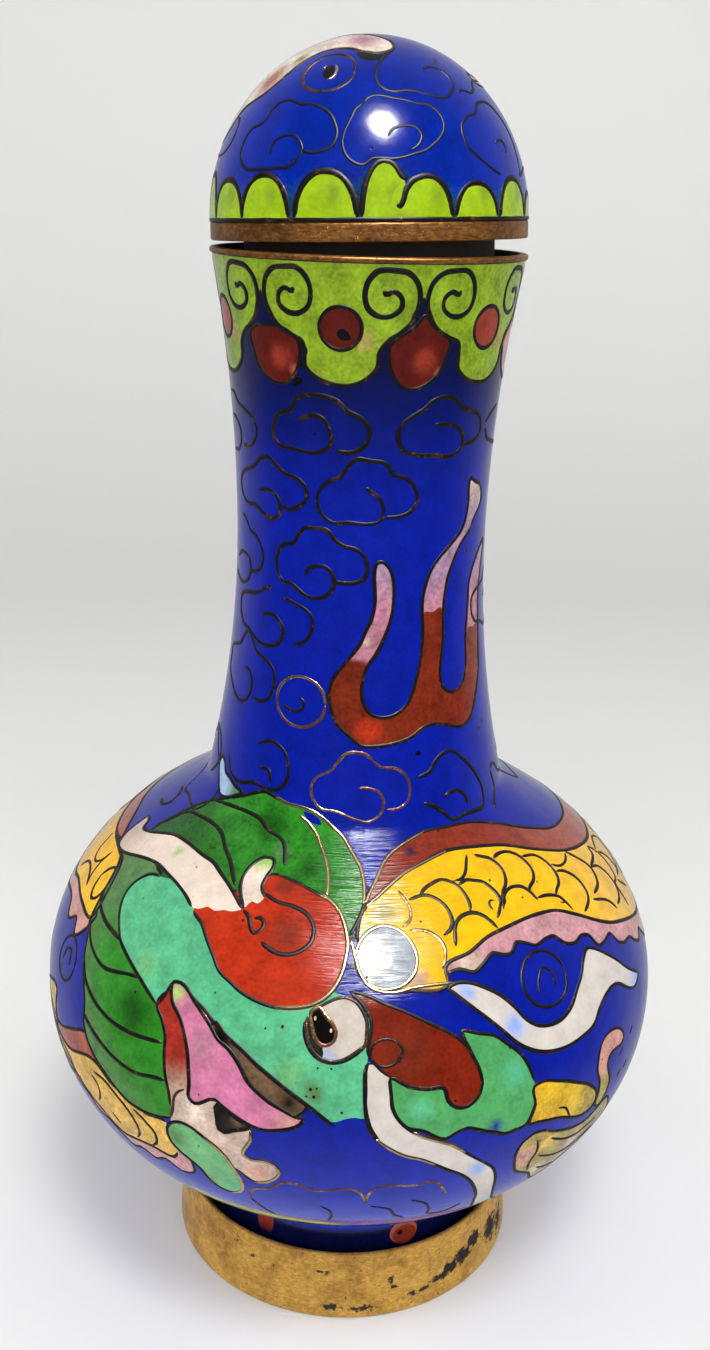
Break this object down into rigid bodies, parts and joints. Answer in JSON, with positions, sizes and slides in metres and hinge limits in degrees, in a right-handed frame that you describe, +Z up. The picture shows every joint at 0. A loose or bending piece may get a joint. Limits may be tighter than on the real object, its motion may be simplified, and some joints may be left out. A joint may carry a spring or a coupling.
{
  "type": "cloisonne lidded vase",
  "caption": "Small bulbous enamelled metal vase with a slim neck, a brass foot ring and a domed lift-off lid.",
  "frame": {"origin": "centre of the foot ring's underside, on the surface that the vase stands on", "axes": "+Z up along the vase's axis, front of the vase (dragon's head, front of the lid's scallops) towards -Y, +X to the right"},
  "size_m": [0.059, 0.059, 0.1146],
  "materials": {
    "enamel": "glossy fired enamel on copper, cobalt ground with many-coloured cells between thin metal wires",
    "brass": "worn golden-brown brass with dark tarnish",
    "copper": "worn brown copper with bright rubbed edges"
  },
  "bodies": {
    "root": {"vase_body": "enamel", "mouth_ring": "copper", "foot_ring": "brass", "lid_rim": "copper", "lid_dome": "enamel"}
  },
  "joints": []
}
